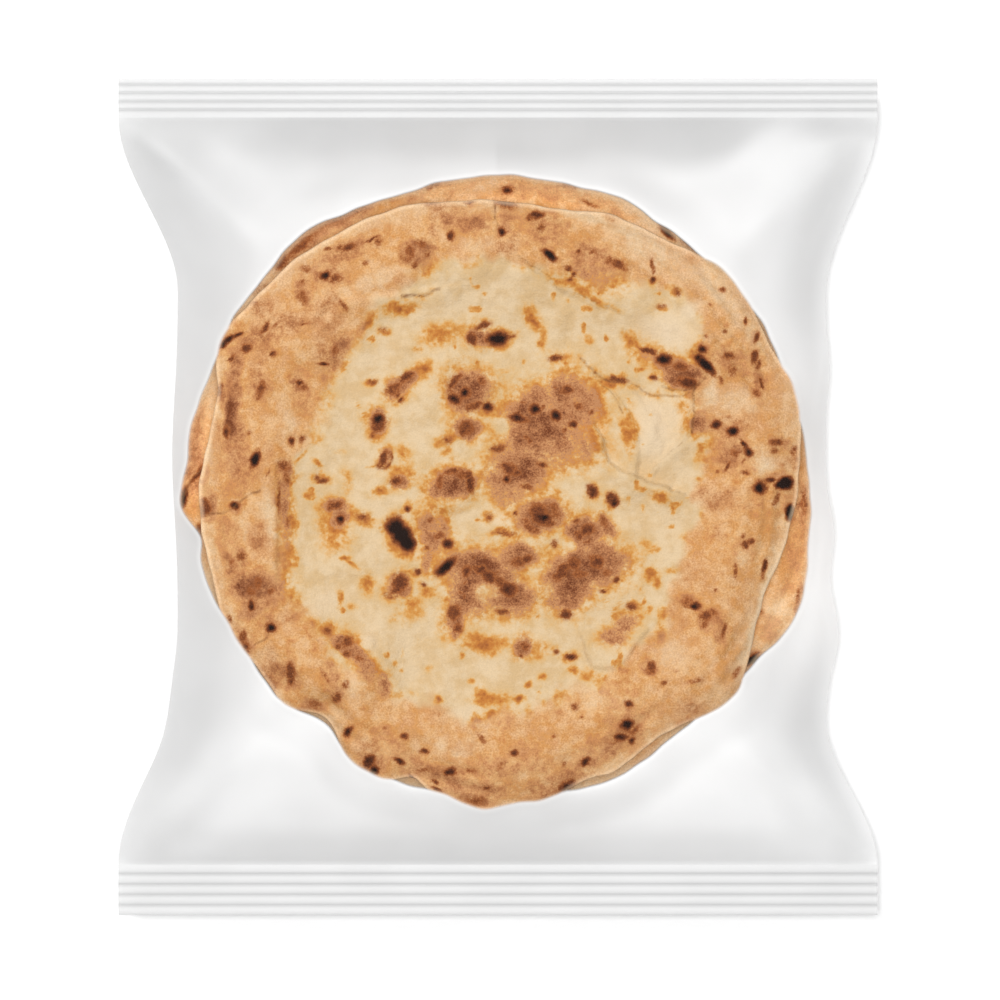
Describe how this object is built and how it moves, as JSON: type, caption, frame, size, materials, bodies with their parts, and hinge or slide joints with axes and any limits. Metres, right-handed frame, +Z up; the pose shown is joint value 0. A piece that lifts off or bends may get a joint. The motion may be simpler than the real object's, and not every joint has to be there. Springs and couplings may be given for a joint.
{
  "type": "pizza base pack",
  "caption": "Round ready-baked pizza bases with uneven rims, stacked in a sealed pillow bag of clear film that lies flat, with crimped end seals and drawn-in sides.",
  "frame": {"origin": "the middle of the bag's footprint, on the surface that it lies on", "axes": "+Z up, out of the bag's shown side; +Y along the bag, towards its narrower end seal; +X across it"},
  "size_m": [0.365, 0.402, 0.0334],
  "materials": {
    "clear_film": "thin clear film, glossy and slightly milky, with pressed crimps at both ends",
    "baked_crust": "dry matt bread: cream middle, tan rim, amber flecks and dark oven spots"
  },
  "bodies": {
    "root": {"sealed_bag": "clear_film"}
  },
  "joints": []
}
